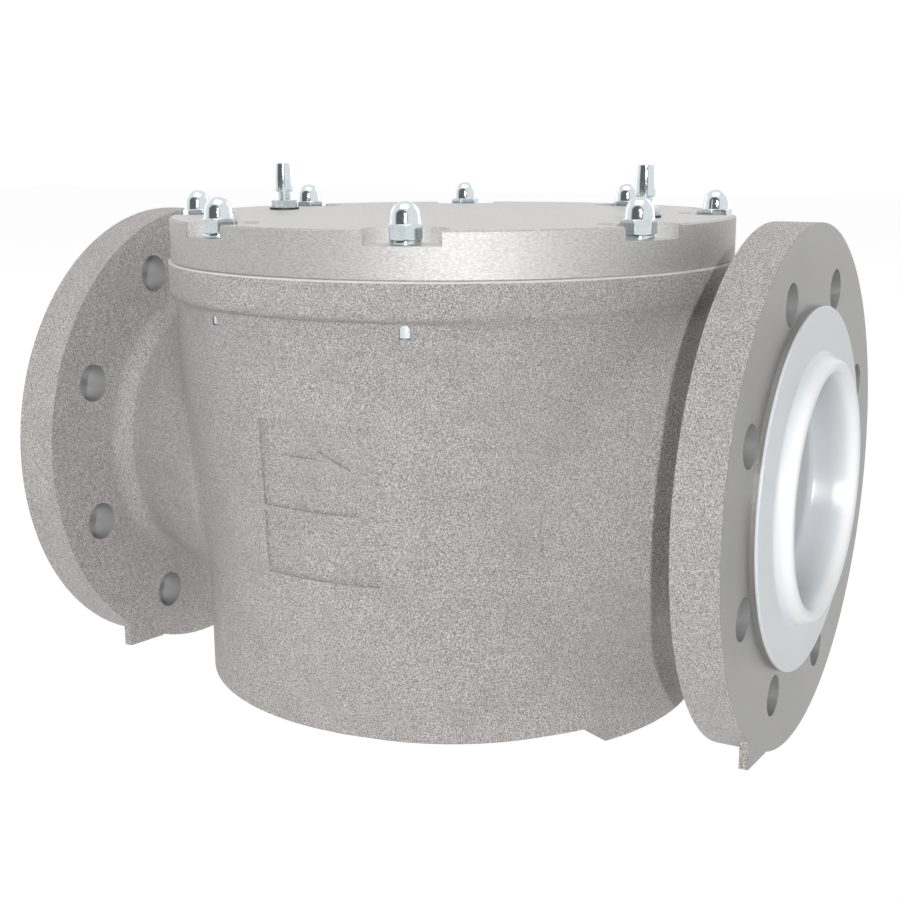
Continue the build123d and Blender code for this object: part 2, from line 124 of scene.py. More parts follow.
def calc(tree, operation, first, second=None, third=None):
    """A Math node. Each operand is a number or an output socket."""
    node = tree.nodes.new("ShaderNodeMath")
    node.operation = operation
    for index, operand in enumerate((first, second, third)):
        if operand is None:
            continue
        if isinstance(operand, (int, float)):
            node.inputs[index].default_value = operand
        else:
            tree.links.new(operand, node.inputs[index])
    return node.outputs[0]


def noise(tree, scale, detail=2.0, roughness=0.5, stretch=(1, 1, 1)):
    """Noise on the object's own coordinates, with one scale for each axis."""
    place = tree.nodes.new("ShaderNodeTexCoord")
    mapping = tree.nodes.new("ShaderNodeMapping")
    mapping.inputs["Scale"].default_value = stretch
    tree.links.new(place.outputs["Object"], mapping.inputs["Vector"])
    texture = tree.nodes.new("ShaderNodeTexNoise")
    texture.inputs["Detail"].default_value = detail
    texture.inputs["Roughness"].default_value = roughness
    tree.links.new(mapping.outputs["Vector"], texture.inputs["Vector"])
    if isinstance(scale, (int, float)):
        texture.inputs["Scale"].default_value = scale
    else:
        tree.links.new(scale, texture.inputs["Scale"])
    return texture.outputs["Fac"]


def fade(tree, value, low, high, start=0.0, end=1.0):
    """A value carried from start to end as it goes from low to high, smoothly and held outside."""
    node = tree.nodes.new("ShaderNodeMapRange")
    node.interpolation_type = "SMOOTHSTEP"
    node.inputs["From Min"].default_value = low
    node.inputs["From Max"].default_value = high
    node.inputs["To Min"].default_value = start
    node.inputs["To Max"].default_value = end
    tree.links.new(value, node.inputs["Value"])
    return node.outputs["Result"]


def blend_colours(tree, share, first, second):
    """Mixes two colours, each an RGB triple or a socket, by a share from 0 to 1."""
    node = tree.nodes.new("ShaderNodeMix")
    node.data_type = "RGBA"
    tree.links.new(share, node.inputs["Factor"])
    for name, colour in (("A", first), ("B", second)):
        socket = [s for s in node.inputs if s.name == name and s.type == "RGBA"][0]
        if isinstance(colour, tuple):
            socket.default_value = (*colour, 1)
        else:
            tree.links.new(colour, socket)
    return [s for s in node.outputs if s.type == "RGBA"][0]


def vector_length(tree, first, second):
    """The square root of the sum of two squares."""
    squares = [calc(tree, "MULTIPLY", side, side) for side in (first, second)]
    return calc(tree, "SQRT", calc(tree, "ADD", *squares))


def place_axes(tree):
    """The object's X, Y and Z coordinates as three sockets."""
    place = tree.nodes.new("ShaderNodeTexCoord")
    split = tree.nodes.new("ShaderNodeSeparateXYZ")
    tree.links.new(place.outputs["Object"], split.inputs[0])
    return split.outputs["X"], split.outputs["Y"], split.outputs["Z"]


def use_group(tree, group, **values):
    """Places a shared group in a material's tree and sets its inputs."""
    node = tree.nodes.new("ShaderNodeGroup")
    node.node_tree = group
    for name, value in values.items():
        node.inputs[name].default_value = value
    return node


def new_material(name, colour, metallic, roughness):
    """A material with a Principled shader, returned with its tree and shader."""
    material = bpy.data.materials.new(name)
    material.use_nodes = True
    shader = material.node_tree.nodes["Principled BSDF"]
    shader.inputs["Base Color"].default_value = (*colour, 1)
    shader.inputs["Metallic"].default_value = metallic
    shader.inputs["Roughness"].default_value = roughness
    return material, material.node_tree, shader


def add_bump(tree, shader, height, strength, distance):
    """Feeds a height into the shader's normal through a Bump node, with distance in metres."""
    bump = tree.nodes.new("ShaderNodeBump")
    bump.inputs["Strength"].default_value = strength
    bump.inputs["Distance"].default_value = distance
    tree.links.new(height, bump.inputs["Height"])
    tree.links.new(bump.outputs["Normal"], shader.inputs["Normal"])

# %% [markdown]
# ## Floor, world and lamps
# The object stands on its two flange rims. Floor and world are white to the camera and in
# reflections, but give only a soft level of light. One small lamp beside the camera draws the
# crisp shadow of the right flange on the wall behind it, and three wide lamps fill in.

# %% Floor and world
floor_level = cad_box[0][2]
floor_reach = 6
floor_corners = [(x, y, floor_level) for x, y in ((-1, -1), (1, -1), (1, 1), (-1, 1))]
floor_corners = [(x * floor_reach, y * floor_reach, z) for x, y, z in floor_corners]
floor_mesh = bpy.data.meshes.new("floor")
floor_mesh.from_pydata(floor_corners, [], [(0, 1, 2, 3)])
floor = bpy.data.objects.new("floor", floor_mesh)
bpy.context.scene.collection.objects.link(floor)


def seen_directly(tree):
    """1 for rays from the camera and for rays that glossy or clear surfaces send on."""
    light_path = tree.nodes.new("ShaderNodeLightPath")
    total = light_path.outputs["Is Camera Ray"]
    for ray in ("Is Glossy Ray", "Is Transmission Ray"):
        total = calc(tree, "MAXIMUM", total, light_path.outputs[ray])
    return total


def white_to_the_camera(tree, lit, glow_strength, lit_share):
    """Mixes a lit shader with plain white for camera, glossy and transmitted rays."""
    share = calc(tree, "MULTIPLY", seen_directly(tree), 1 - lit_share)
    glow = tree.nodes.new("ShaderNodeEmission")
    glow.inputs["Color"].default_value = (1, 1, 1, 1)
    glow.inputs["Strength"].default_value = glow_strength
    mix = tree.nodes.new("ShaderNodeMixShader")
    tree.links.new(share, mix.inputs[0])
    tree.links.new(lit, mix.inputs[1])
    tree.links.new(glow.outputs[0], mix.inputs[2])
    return mix.outputs[0]


floor_material = bpy.data.materials.new("pale_floor")
floor_material.use_nodes = True
floor_tree = floor_material.node_tree
floor_tree.nodes.clear()
floor_paint = floor_tree.nodes.new("ShaderNodeBsdfDiffuse")
floor_paint.inputs["Color"].default_value = (0.9, 0.9, 0.9, 1)
floor_out = floor_tree.nodes.new("ShaderNodeOutputMaterial")
floor_look = white_to_the_camera(
    floor_tree, floor_paint.outputs[0], glow_strength=1.2, lit_share=0.2
)
floor_tree.links.new(floor_look, floor_out.inputs["Surface"])
floor_mesh.materials.append(floor_material)

world = bpy.data.worlds.new("studio")
bpy.context.scene.world = world
world.use_nodes = True
sky = world.node_tree
sky.nodes.clear()
soft_light = sky.nodes.new("ShaderNodeBackground")
soft_light.inputs["Strength"].default_value = 0.11
white_wall = sky.nodes.new("ShaderNodeBackground")
for background in (soft_light, white_wall):
    background.inputs["Color"].default_value = (1, 1, 1, 1)
# The studio is dark behind the camera, which bright metal reflects and the camera never sees
direction = sky.nodes.new("ShaderNodeTexCoord")
direction_axes = sky.nodes.new("ShaderNodeSeparateXYZ")
sky.links.new(direction.outputs["Generated"], direction_axes.inputs[0])
dark_side = fade(sky, direction_axes.outputs["Y"], -0.55, -0.8, 0.0, 0.88)
glossy_ray = sky.nodes.new("ShaderNodeLightPath")
dark_share = calc(sky, "MULTIPLY", dark_side, glossy_ray.outputs["Is Glossy Ray"])
sky.links.new(calc(sky, "SUBTRACT", 1.04, dark_share), white_wall.inputs["Strength"])
sky_mix = sky.nodes.new("ShaderNodeMixShader")
sky_out = sky.nodes.new("ShaderNodeOutputWorld")
sky.links.new(seen_directly(sky), sky_mix.inputs[0])
sky.links.new(soft_light.outputs[0], sky_mix.inputs[1])
sky.links.new(white_wall.outputs[0], sky_mix.inputs[2])
sky.links.new(sky_mix.outputs[0], sky_out.inputs["Surface"])
bpy.context.scene.view_settings.view_transform = "Standard"


# %% Lamps
def lamp(name, azimuth, elevation, far, size, watts):
    """A square area lamp on a sphere about the object, turned to face it."""
    data = bpy.data.lights.new(name, "AREA")
    data.size = size
    data.energy = watts
    light = bpy.data.objects.new(name, data)
    a, e = math.radians(azimuth), math.radians(elevation)
    out = Vector((math.sin(a) * math.cos(e), -math.cos(a) * math.cos(e), math.sin(e)))
    facing = out.to_track_quat("Z", "Y").to_matrix().to_4x4()
    light.matrix_world = Matrix.Translation(out * far) @ facing
    bpy.context.scene.collection.objects.link(light)
    return light


lamps = [
    lamp("key_lamp", azimuth=30, elevation=12, far=2.6, size=0.06, watts=55),
    lamp("top_fill", azimuth=10, elevation=80, far=1.9, size=1.6, watts=8),
    lamp("side_fill", azimuth=-105, elevation=15, far=2.2, size=1.6, watts=3),
    lamp("back_fill", azimuth=160, elevation=22, far=2.2, size=1.6, watts=6),
]
print("lamps:", [light.name for light in lamps])

# %% [markdown]
# ## Shared surface effects
# A shader node group is built once and used by several materials with their own values. The
# first is the grain of a shot-blasted casting: small dents of two sizes, with a few bright ones
# where the metal catches light. The second is the mask of the machined bolt holes.

# %% Sizes for the masks, in metres
bolt_circle_radius = 0.090
bolt_hole_reach = 0.00912  # the holes' radius and a hair more
flange_back = 0.1528
raised_face = 0.17285
lid_clear_of_flanges = 0.14
body_top_edge = 0.09415
lid_rim_inside = 0.1302

# %% Blasted grain group
grain_group, grain_in, grain_out = new_group(
    "blasted_grain",
    {"Scale": 900.0},
    {"Height": "NodeSocketFloat", "Sparkle": "NodeSocketFloat", "Cloud": "NodeSocketFloat"},
)
coarse = noise(grain_group, grain_in.outputs["Scale"], 3, 0.6)
fine_scale = calc(grain_group, "MULTIPLY", grain_in.outputs["Scale"], 2.3)
fine = noise(grain_group, fine_scale, 2, 0.5)
dents = calc(grain_group, "MULTIPLY_ADD", fine, 0.45, coarse)
grain_group.links.new(dents, grain_out.inputs["Height"])
peaks = calc(grain_group, "MULTIPLY_ADD", fine, 0.6, calc(grain_group, "MULTIPLY", coarse, 0.4))
grain_group.links.new(fade(grain_group, peaks, 0.42, 0.60), grain_out.inputs["Sparkle"])
grain_group.links.new(noise(grain_group, 14.0, 3, 0.6), grain_out.inputs["Cloud"])


# %% Bolt hole mask group
def bolt_hole_mask():
    """1 inside a bolt hole's wall, 0 elsewhere.

    The angle about the pipe is folded into one eighth of a turn, so all the holes fall on one
    place, and the distance to that place is compared with the hole's radius.
    """
    group, _, leave = new_group("bolt_hole_mask", {}, {"Mask": "NodeSocketFloat"})
    x, y, z = place_axes(group)
    step = math.radians(45)
    angle = calc(group, "ADD", calc(group, "ARCTAN2", y, z), 8 * step)
    folded = calc(group, "SUBTRACT", calc(group, "MODULO", angle, step), step / 2)
    radius = vector_length(group, y, z)
    along = calc(group, "MULTIPLY", radius, calc(group, "COSINE", folded))
    along = calc(group, "SUBTRACT", along, bolt_circle_radius)
    across = calc(group, "MULTIPLY", radius, calc(group, "SINE", folded))
    near = calc(group, "LESS_THAN", vector_length(group, along, across), bolt_hole_reach)
    far_out = calc(group, "GREATER_THAN", calc(group, "ABSOLUTE", x), flange_back)
    group.links.new(calc(group, "MULTIPLY", near, far_out), leave.inputs["Mask"])
    return group


hole_group = bolt_hole_mask()
print("shared groups:", grain_group.name, hole_group.name)


# %% [markdown]
# ## Cast aluminium of the body
# The casting is shot-blasted, so it is a light warm grey without gloss. Its flange faces and
# bolt holes were machined afterwards and are smoother. Position tells them apart: a face is
# machined where it lies at the plane of the flange face, and a hole where it is near a hole axis.

# %% Cast body material
cast, cast_tree, cast_shader = new_material("cast_aluminium", (0.48, 0.465, 0.45), 0.5, 0.48)
cast_grain = use_group(cast_tree, grain_group, Scale=1650.0)
cast_holes = use_group(cast_tree, hole_group)
x, y, z = place_axes(cast_tree)
faced = calc(cast_tree, "GREATER_THAN", calc(cast_tree, "ABSOLUTE", x), raised_face)
machined = calc(cast_tree, "MAXIMUM", faced, cast_holes.outputs["Mask"])

sparkle, cloud = cast_grain.outputs["Sparkle"], cast_grain.outputs["Cloud"]
# Partly real grain speckle, partly painted glints: the sparkle specks are painted near white where
# the metal catches light
skin = blend_colours(cast_tree, sparkle, (0.19, 0.182, 0.175), (0.84, 0.82, 0.80))
cloudy = fade(cast_tree, cloud, 0.35, 0.7, 0.0, 0.25)
clouded = blend_colours(cast_tree, cloudy, skin, (0.50, 0.485, 0.47))
stain = fade(cast_tree, noise(cast_tree, 55.0, 5, 0.65), 0.42, 0.66, 0.0, 0.12)
stained = blend_colours(cast_tree, stain, clouded, (0.25, 0.24, 0.23))

# Painted highlight: a thin band along the body's top edge under the lid is painted near white,
# standing in for light caught at the split line
under_lid = calc(cast_tree, "LESS_THAN", calc(cast_tree, "ABSOLUTE", x), lid_clear_of_flanges)
above_edge = calc(cast_tree, "GREATER_THAN", z, body_top_edge)
split_line_highlight = calc(cast_tree, "MULTIPLY", above_edge, under_lid)
with_split_line_highlight = blend_colours(cast_tree, split_line_highlight, stained, (0.80, 0.79, 0.78))

faced_colour = blend_colours(cast_tree, cloud, (0.24, 0.236, 0.23), (0.31, 0.305, 0.295))
in_hole = cast_holes.outputs["Mask"]
turned_colour = blend_colours(cast_tree, in_hole, faced_colour, (0.36, 0.36, 0.36))
full_colour = blend_colours(cast_tree, machined, with_split_line_highlight, turned_colour)
cast_tree.links.new(full_colour, cast_shader.inputs["Base Color"])

cast_rough = calc(cast_tree, "MULTIPLY_ADD", machined, -0.22, 0.52)
cast_tree.links.new(cast_rough, cast_shader.inputs["Roughness"])
rough_part = calc(cast_tree, "MULTIPLY_ADD", machined, -0.85, 1.0)
dent_height = calc(cast_tree, "MULTIPLY", cast_grain.outputs["Height"], rough_part)
add_bump(cast_tree, cast_shader, dent_height, 1.0, 0.0009)

# %% [markdown]
# ## Lid
# The lid is the same metal. Its top is blasted finer and lighter, and its rim was turned on a
# lathe, which leaves fine level lines round it.

# %% Lid material
lid_metal, lid_tree, lid_shader = new_material("lid_aluminium", (0.5, 0.48, 0.46), 0.5, 0.52)
lid_grain = use_group(lid_tree, grain_group, Scale=1300.0)
x, y, z = place_axes(lid_tree)
turned = calc(lid_tree, "GREATER_THAN", vector_length(lid_tree, x, y), lid_rim_inside)
lines = noise(lid_tree, 1.0, 4, 0.65, (620, 620, 1900))
lid_sparkle = lid_grain.outputs["Sparkle"]
# Partly real grain, partly painted glints: the sparkle specks on the top are painted lighter
lid_colour = blend_colours(lid_tree, lid_sparkle, (0.56, 0.55, 0.54), (0.80, 0.79, 0.78))
line_share = fade(lid_tree, lines, 0.34, 0.66)
lined_colour = blend_colours(lid_tree, line_share, (0.39, 0.385, 0.375), (0.53, 0.525, 0.515))
full_lid_colour = blend_colours(lid_tree, turned, lid_colour, lined_colour)
lid_tree.links.new(full_lid_colour, lid_shader.inputs["Base Color"])

grain_share = calc(lid_tree, "MULTIPLY_ADD", turned, -0.7, 1.0)
grain_height = calc(lid_tree, "MULTIPLY", lid_grain.outputs["Height"], grain_share)
line_height = calc(lid_tree, "MULTIPLY", lines, turned)
add_bump(lid_tree, lid_shader, calc(lid_tree, "ADD", grain_height, line_height), 0.45, 0.0004)

# %% [markdown]
# ## Zinc, sheet steel, rubber, fibre and plastic
# The small hardware is bright zinc with a cold blue cast. Sheet steel and the fibre sleeve are
# inside and show only when the lid is lifted. The caps are milky polyethylene.

# %% Zinc, sheet steel and rubber
zinc, zinc_tree, zinc_shader = new_material("zinc_steel", (0.40, 0.44, 0.48), 1.0, 0.2)
zinc_spots = noise(zinc_tree, 700.0, 3, 0.6)
zinc_colour = blend_colours(zinc_tree, zinc_spots, (0.58, 0.64, 0.67), (0.72, 0.77, 0.79))
zinc_rough = fade(zinc_tree, zinc_spots, 0.35, 0.7, 0.07, 0.16)
zinc_tree.links.new(zinc_rough, zinc_shader.inputs["Roughness"])
zinc_tree.links.new(zinc_colour, zinc_shader.inputs["Base Color"])
add_bump(zinc_tree, zinc_shader, zinc_spots, 0.08, 0.0001)

sheet, sheet_tree, sheet_shader = new_material("sheet_steel", (0.55, 0.56, 0.58), 1.0, 0.35)
spangle = noise(sheet_tree, 160.0, 1, 0.4)
sheet_colour = blend_colours(sheet_tree, spangle, (0.48, 0.49, 0.52), (0.68, 0.69, 0.70))
sheet_rough = fade(sheet_tree, spangle, 0.3, 0.7, 0.28, 0.48)
sheet_tree.links.new(sheet_rough, sheet_shader.inputs["Roughness"])
sheet_tree.links.new(sheet_colour, sheet_shader.inputs["Base Color"])

rubber, rubber_tree, rubber_shader = new_material("black_rubber", (0.02, 0.02, 0.022), 0.0, 0.6)
rubber_grain = noise(rubber_tree, 1500.0, 2)
rubber_tones = ((0.014, 0.014, 0.016), (0.035, 0.035, 0.037))
rubber_colour = blend_colours(rubber_tree, rubber_grain, *rubber_tones)
rubber_tree.links.new(rubber_colour, rubber_shader.inputs["Base Color"])
add_bump(rubber_tree, rubber_shader, rubber_grain, 0.2, 0.0002)

# %% Fibre and plastic
fibre, fibre_tree, fibre_shader = new_material("filter_fibre", (0.83, 0.83, 0.78), 0.0, 0.9)
tangle = noise(fibre_tree, 420.0, 6, 0.75, (1, 1, 0.35))
tangle_share = fade(fibre_tree, tangle, 0.3, 0.7)
fibre_colour = blend_colours(fibre_tree, tangle_share, (0.62, 0.62, 0.56), (0.88, 0.88, 0.84))
fibre_tree.links.new(fibre_colour, fibre_shader.inputs["Base Color"])
add_bump(fibre_tree, fibre_shader, tangle, 0.8, 0.0012)

# The cap's colour is darker over the open bore, a painted shade of the dark bore seen through the
# thin plastic, and lighter on its raised ring, a painted highlight
ring_foot, ring_crest = 0.1768, 0.1815
cup_edge, brim_edge = 0.0475, 0.051
milky, milky_tree, milky_shader = new_material("cap_plastic", (0.70, 0.73, 0.75), 0.0, 0.3)
milky_cloud = noise(milky_tree, 22.0, 3)
x, y, z = place_axes(milky_tree)
raised = fade(milky_tree, calc(milky_tree, "ABSOLUTE", x), ring_foot, ring_crest)
over_brim = fade(milky_tree, vector_length(milky_tree, y, z), cup_edge, brim_edge)
brim_colour = blend_colours(milky_tree, milky_cloud, (0.60, 0.63, 0.65), (0.67, 0.69, 0.71))
# Painted shade: the cup over the open bore is painted darker than the brim
cup_painted_shade_colour = blend_colours(milky_tree, milky_cloud, (0.42, 0.44, 0.46), (0.50, 0.52, 0.54))
brim_and_painted_shade_colour = blend_colours(milky_tree, over_brim, cup_painted_shade_colour, brim_colour)
# Painted highlight: the raised ring is painted lighter than the rest of the cap
cap_colour = blend_colours(milky_tree, raised, brim_and_painted_shade_colour, (0.80, 0.81, 0.82))
milky_tree.links.new(cap_colour, milky_shader.inputs["Base Color"])
milky_shader.inputs["Subsurface Weight"].default_value = 0.2
milky_shader.inputs["Subsurface Radius"].default_value = (0.004, 0.004, 0.004)
add_bump(milky_tree, milky_shader, milky_cloud, 0.1, 0.001)

# %% [markdown]
# ## Smooth shading on the construction model's facets
# The construction model arrives as loose flat triangles. A small geometry node tree joins their
# corners and shades them smooth wherever two facets meet at a shallow angle, so round walls look
# round and real edges stay crisp.

# %% Smoothing modifier
weld_distance = 0.000004
smooth_limit = 24


def smoothing_tree(limit_degrees):
    """Joins doubled corners, then shades smooth across every edge flatter than the limit."""
    tree = bpy.data.node_groups.new("smooth_shallow_edges", "GeometryNodeTree")
    tree.interface.new_socket("Geometry", in_out="INPUT", socket_type="NodeSocketGeometry")
    tree.interface.new_socket("Geometry", in_out="OUTPUT", socket_type="NodeSocketGeometry")
    entry = tree.nodes.new("NodeGroupInput")
    leave = tree.nodes.new("NodeGroupOutput")
    merge = tree.nodes.new("GeometryNodeMergeByDistance")
    merge.inputs["Distance"].default_value = weld_distance
    faces = tree.nodes.new("GeometryNodeSetShadeSmooth")
    faces.domain = "FACE"
    edges = tree.nodes.new("GeometryNodeSetShadeSmooth")
    edges.domain = "EDGE"
    angle = tree.nodes.new("GeometryNodeInputMeshEdgeAngle")
    flat = tree.nodes.new("FunctionNodeCompare")
    flat.operation = "LESS_EQUAL"
    flat.inputs["B"].default_value = math.radians(limit_degrees)
    tree.links.new(entry.outputs[0], merge.inputs["Geometry"])
    tree.links.new(merge.outputs[0], faces.inputs["Geometry"])
    tree.links.new(faces.outputs[0], edges.inputs["Geometry"])
    tree.links.new(angle.outputs["Unsigned Angle"], flat.inputs["A"])
    tree.links.new(flat.outputs[0], edges.inputs["Shade Smooth"])
    tree.links.new(edges.outputs[0], leave.inputs[0])
    return tree


smooth_shallow = smoothing_tree(smooth_limit)
finishes = {
    "cast_aluminium": cast,
    "lid_aluminium": lid_metal,
    "zinc_steel": zinc,
    "sheet_steel": sheet,
    "black_rubber": rubber,
    "filter_fibre": fibre,
    "cap_plastic": milky,
}
for entry in frame["record"]["subparts"]:
    piece = nodes[entry["node"]]
    piece.data.materials.clear()
    piece.data.materials.append(finishes[entry["material_slot"]])
    modifier = piece.modifiers.new("smooth", "NODES")
    modifier.node_group = smooth_shallow
print("finished", len(nodes), "construction pieces")

# %% [markdown]
# ## Soft transitions where the necks meet the wall
# On the casting each neck runs into the round wall without an edge, as if a ball had been rolled
# along the corner. The construction model keeps that corner crisp, so a skin is laid over it. In
# every half-plane through the pipe axis the corner is an ordinary fillet: the ball's centre lies
# one radius away from the neck's slope and one radius away from the wall, and the skin is the
# ball's arc between the two points where it touches. Those sections, side by side all the way
# round the pipe, make a surface that leaves both walls without a kink.

# %% The wall and the neck as functions, in millimetres
shell_radius = 119.5
flare_bottom = -45.0
flange_underside = 78.4
side_flare = 12.5
front_flare = 5.9
neck_thin = (153.0, 63.0)
neck_wide = (90.0, 89.0)
edge_depth = 0.10
proud_height = 0.03


def wall_axes(z):
    """Half widths of the wall's oval at height Z: a circle below the flare, wider above it."""
    share = np.clip((z - flare_bottom) / (flange_underside - flare_bottom), 0, 1)
    return shell_radius + side_flare * (1 - (1 - share) ** 3), shell_radius + front_flare * share


def wall_reach(y, z):
    """X of the wall at a given Y and Z."""
    along, across = wall_axes(z)
    return along * np.sqrt(np.clip(1 - (y / across) ** 2, 1e-6, None))


def wall_distance(z, angles):
    """Distance of the wall from the upright axis at height Z, at each angle round it."""
    along, across = wall_axes(z)
    return 1 / np.sqrt((np.cos(angles) / along) ** 2 + (np.sin(angles) / across) ** 2)


def let_in(share):
    """Depth of a skin's row in the casting: proud by a hair midway, and let in at both ends."""
    near_end = np.clip((np.abs(2 * share - 1) - 0.8) / 0.2, 0, None)
    return (edge_depth + proud_height) * near_end ** 2 - proud_height


def closed_faces(points, close_rows):
    """Vertices, quads and triangles of one closed surface from a grid, rows by columns by three.

    Neighbouring points are joined by quads, and points that fall together become one, so a row
    shrunk to a point closes as a fan of triangles. The sign of the enclosed volume, summed over
    the faces, tells whether they look outwards, and turns them all if they don't.
    """
    rows, columns = points.shape[:2]
    row = np.arange(rows if close_rows else rows - 1)[:, None]
    column = np.arange(columns)[None, :]
    next_row = (row + 1) % rows
    next_column = (column + 1) % columns
    corners = (
        row * columns + column, row * columns + next_column,
        next_row * columns + next_column, next_row * columns + column,
    )
    corners = [np.broadcast_to(corner, (len(row), columns)) for corner in corners]
    quads = np.stack(corners, axis=-1).reshape(-1, 4)
    vertices, merged = np.unique(np.round(points.reshape(-1, 3), 9), axis=0, return_inverse=True)
    quads = merged.reshape(-1)[quads]
    a, b, c, d = (vertices[quads[:, corner]] for corner in range(4))
    if np.sum(a * np.cross(b, c)) + np.sum(a * np.cross(c, d)) < 0:
        quads = quads[:, ::-1]
    first_shut = quads[:, 0] == quads[:, 1]
    last_shut = quads[:, 2] == quads[:, 3]
    fans = (quads[first_shut & ~last_shut][:, 1:], quads[last_shut & ~first_shut][:, :3])
    return vertices, quads[~first_shut & ~last_shut], np.concatenate(fans)


def surface_mesh(name, grids, close_rows):
    """One object from several grids of points in metres, each made a closed surface."""
    points, faces, offset = [], [], 0
    for grid in grids:
        vertices, quads, triangles = closed_faces(grid, close_rows)
        points.append(vertices)
        faces += (quads + offset).tolist() + (triangles + offset).tolist()
        offset += len(vertices)
    mesh = bpy.data.meshes.new(name)
    mesh.from_pydata(np.concatenate(points).tolist(), [], faces)
    mesh.polygons.foreach_set("use_smooth", np.ones(len(faces), dtype=bool))
    mesh.update()
    piece = bpy.data.objects.new(name, mesh)
    bpy.context.scene.collection.objects.link(piece)
    print(name, len(faces), "faces")
    return piece


# %% The rolled skin between neck and wall
ball_sizes = (2.0, 3.0, 4.5, 6.0, 8.0, 11.0, 15.0, 20.0, 25.0, 30.0)
buried_depth = 1.5
buried_share = 0.12


def rolled_corner(ball_radius, angles):
    """Centre, touch on the neck and touch on the wall for one ball radius at every angle.

    Points on the wall are moved out by the radius along the section's normal, and the one whose
    distance to the neck's slope is also one radius is found by linear interpolation.
    """
    slope = np.array([neck_wide[1] - neck_thin[1], neck_thin[0] - neck_wide[0]])
    neck_normal = slope / np.hypot(*slope)
    heights = np.linspace(40, 125, 900)[None, :]
    cosine, sine = np.cos(angles)[:, None], np.sin(angles)[:, None]
    reach = wall_reach(heights * cosine, heights * sine)
    rise = np.gradient(reach, axis=1) / np.gradient(heights, axis=1)
    length = np.hypot(1, rise)
    centre_x = reach + ball_radius / length
    centre_r = heights - ball_radius * rise / length
    above_neck = (centre_x - neck_wide[0]) * neck_normal[0]
    above_neck = above_neck + (centre_r - neck_wide[1]) * neck_normal[1]
    gap = above_neck - ball_radius
    crossing = np.argmax((gap[:, :-1] < 0) & (gap[:, 1:] >= 0), axis=1)
    rows = np.arange(len(angles))
    share = -gap[rows, crossing] / (gap[rows, crossing + 1] - gap[rows, crossing])

    def at(values):
        below, above = values[rows, crossing], values[rows, crossing + 1]
        return below + share * (above - below)

    wall_touch = np.stack([at(reach), at(np.broadcast_to(heights, reach.shape))], axis=1)
    centre = np.stack([at(centre_x), at(centre_r)], axis=1)
    return centre, centre - ball_radius * neck_normal, wall_touch


def smoothed_round(values, window=41):
    """Values round a circle, each averaged with its neighbours under a soft window."""
    half = window // 2
    soft = np.hanning(window) / np.hanning(window).sum()
    return np.convolve(np.concatenate([values[-half:], values, values[:half]]), soft, "valid")


def neck_skin(name, side, columns=360, steps=22):
    """Skin over one neck's corner, with the largest ball that fits under the lid's flange.

    A last row of points, buried in the casting behind the corner, closes it to a ring.
    """
    angles = np.linspace(0, 2 * math.pi, columns, endpoint=False)
    chosen = np.full(columns, ball_sizes[0])
    for ball in ball_sizes[1:]:
        _, _, wall = rolled_corner(ball, angles)
        fits = wall[:, 1] * np.sin(angles) < flange_underside - 0.5
        chosen = np.where(fits, ball, chosen)
    radii = smoothed_round(np.minimum(smoothed_round(chosen), chosen))
    centre, on_neck, on_wall = rolled_corner(radii[:, None], angles)
    first = on_neck - centre
    last = on_wall - centre
    start = np.arctan2(first[:, 1], first[:, 0])
    sweep = np.arctan2(last[:, 1], last[:, 0]) - start
    sweep = (sweep + math.pi) % (2 * math.pi) - math.pi
    share = np.linspace(0, 1, steps)[:, None]
    turn = start + share * sweep
    buried = radii / np.cos(sweep / 2) + buried_depth + buried_share * radii
    turn = np.concatenate([turn, (start + sweep / 2)[None, :]])
    reach = np.concatenate([radii + let_in(share), buried[None, :]])
    x = centre[:, 0] + reach * np.cos(turn)
    r = centre[:, 1] + reach * np.sin(turn)
    points = np.stack([side * x, r * np.cos(angles), r * np.sin(angles)], axis=-1) / 1000
    return surface_mesh(name, [points], True)


# %% [markdown]
# ## Soft root under the lid's flange
# Under the round flange the wall steps in at the front, and runs up into the flange without a
# step towards the necks. The same rolled ball makes both: it rests on the wall and on the
# flange's rounded lower edge, small at the front and large near the necks.

# %% The rolled skin between wall and flange
flange_rim = 132.6
edge_rounding = 4.0
smallest_ball, largest_ball = 2.5, 22.0


